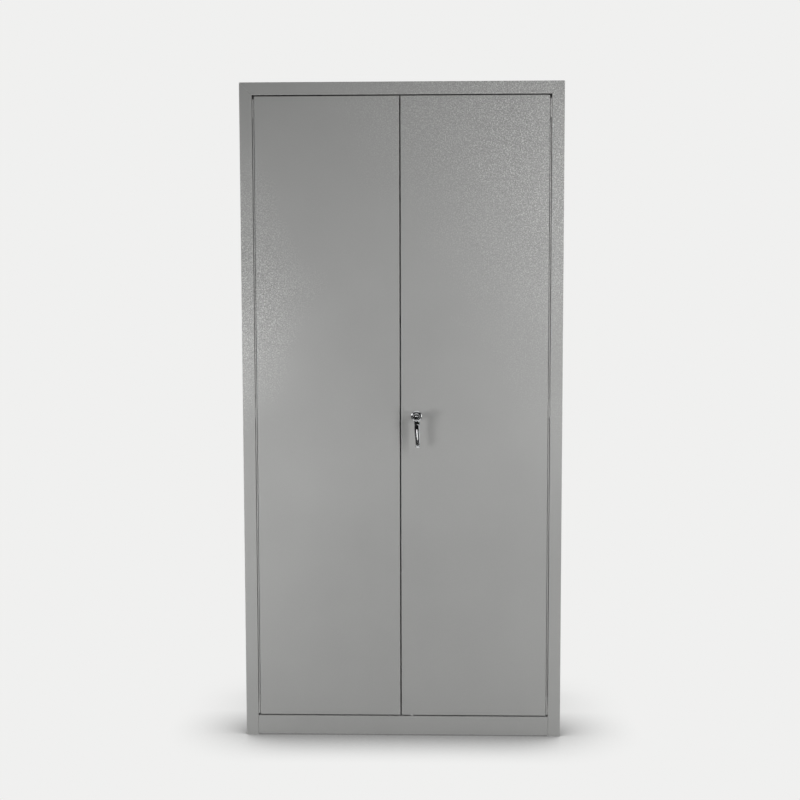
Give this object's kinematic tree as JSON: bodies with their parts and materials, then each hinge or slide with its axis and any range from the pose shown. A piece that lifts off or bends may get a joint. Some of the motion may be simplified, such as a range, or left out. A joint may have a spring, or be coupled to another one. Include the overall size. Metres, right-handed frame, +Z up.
{
  "type": "steel office cabinet",
  "caption": "Tall steel office cupboard with flush double doors, a chrome locking lever handle and adjustable shelves on slotted uprights.",
  "frame": {"origin": "centre of the bounding box on the ground", "axes": "+Z up, the doors face -Y, +X to the right of someone who faces the doors"},
  "size_m": [0.9, 0.4878, 1.85],
  "materials": {
    "grey_paint": "fine textured grey powder coat, satin",
    "bright_chrome": "polished chrome plate",
    "zinc_plate": "bright zinc plated steel",
    "black_rubber": "matt black rubber"
  },
  "bodies": {
    "cabinet": {"left_side_panel": "grey_paint", "right_side_panel": "grey_paint", "left_front_post": "grey_paint", "right_front_post": "grey_paint", "top_panel": "grey_paint", "back_panel": "grey_paint", "floor_panel": "grey_paint", "bottom_rail": "grey_paint", "left_front_upright": "grey_paint", "left_rear_upright": "grey_paint", "right_front_upright": "grey_paint", "right_rear_upright": "grey_paint", "shelf_1": "grey_paint", "shelf_2": "grey_paint", "shelf_3": "grey_paint", "shelf_4": "grey_paint", "left_front_clip_1": "zinc_plate", "left_front_clip_2": "zinc_plate", "left_front_clip_3": "zinc_plate", "left_front_clip_4": "zinc_plate", "left_rear_clip_1": "zinc_plate", "left_rear_clip_2": "zinc_plate", "left_rear_clip_3": "zinc_plate", "left_rear_clip_4": "zinc_plate", "right_front_clip_1": "zinc_plate", "right_front_clip_2": "zinc_plate", "right_front_clip_3": "zinc_plate", "right_front_clip_4": "zinc_plate", "right_rear_clip_1": "zinc_plate", "right_rear_clip_2": "zinc_plate", "right_rear_clip_3": "zinc_plate", "right_rear_clip_4": "zinc_plate", "left_top_frame_hinge": "grey_paint", "left_middle_frame_hinge": "grey_paint", "left_bottom_frame_hinge": "grey_paint", "right_top_frame_hinge": "grey_paint", "right_middle_frame_hinge": "grey_paint", "right_bottom_frame_hinge": "grey_paint", "left_door_buffer": "black_rubber", "right_door_buffer": "black_rubber"},
    "left_door": {"left_door": "grey_paint", "left_door_stiffener": "grey_paint", "left_top_door_hinge": "grey_paint", "left_middle_door_hinge": "grey_paint", "left_bottom_door_hinge": "grey_paint"},
    "right_door": {"right_door": "grey_paint", "right_door_stiffener": "grey_paint", "right_top_door_hinge": "grey_paint", "right_middle_door_hinge": "grey_paint", "right_bottom_door_hinge": "grey_paint", "rosette": "bright_chrome", "rosette_nut": "zinc_plate", "upper_bolt_guide": "zinc_plate", "lower_bolt_guide": "zinc_plate"},
    "handle": {"handle_lever": "bright_chrome", "cam_plate": "zinc_plate", "cam_screw": "zinc_plate"},
    "lock_plug": {"lock_plug": "bright_chrome"},
    "upper_bolt": {"upper_bolt": "zinc_plate"},
    "lower_bolt": {"lower_bolt": "zinc_plate"}
  },
  "joints": [
    {"name": "left_door_hinge", "type": "hinge", "parent": "cabinet", "child": "left_door", "pos_m": [-0.412, -0.2046, 0.935], "axis": [0, 0, -1], "range_deg": [0, 110]},
    {"name": "right_door_hinge", "type": "hinge", "parent": "cabinet", "child": "right_door", "pos_m": [0.412, -0.2046, 0.935], "axis": [0, 0, 1], "range_deg": [0, 110]},
    {"name": "handle_turn", "type": "hinge", "parent": "right_door", "child": "handle", "pos_m": [0.0406, -0.2061, 0.9223], "axis": [0, -1, 0], "range_deg": [0, 90]},
    {"name": "key_plug_turn", "type": "hinge", "parent": "handle", "child": "lock_plug", "pos_m": [0.0406, -0.2361, 0.9223], "axis": [0, -1, 0], "range_deg": [0, 90]},
    {"name": "upper_bolt_slide", "type": "slide", "parent": "right_door", "child": "upper_bolt", "axis": [0, 0, 1], "range_m": [0, 0.02404]},
    {"name": "lower_bolt_slide", "type": "slide", "parent": "right_door", "child": "lower_bolt", "axis": [0, 0, -1], "range_m": [0, 0.02404]}
  ],
  "couplings": [
    {"joint": "upper_bolt_slide", "follows": "handle_turn", "m_per_rad": 0.015306},
    {"joint": "lower_bolt_slide", "follows": "handle_turn", "m_per_rad": 0.015306}
  ]
}
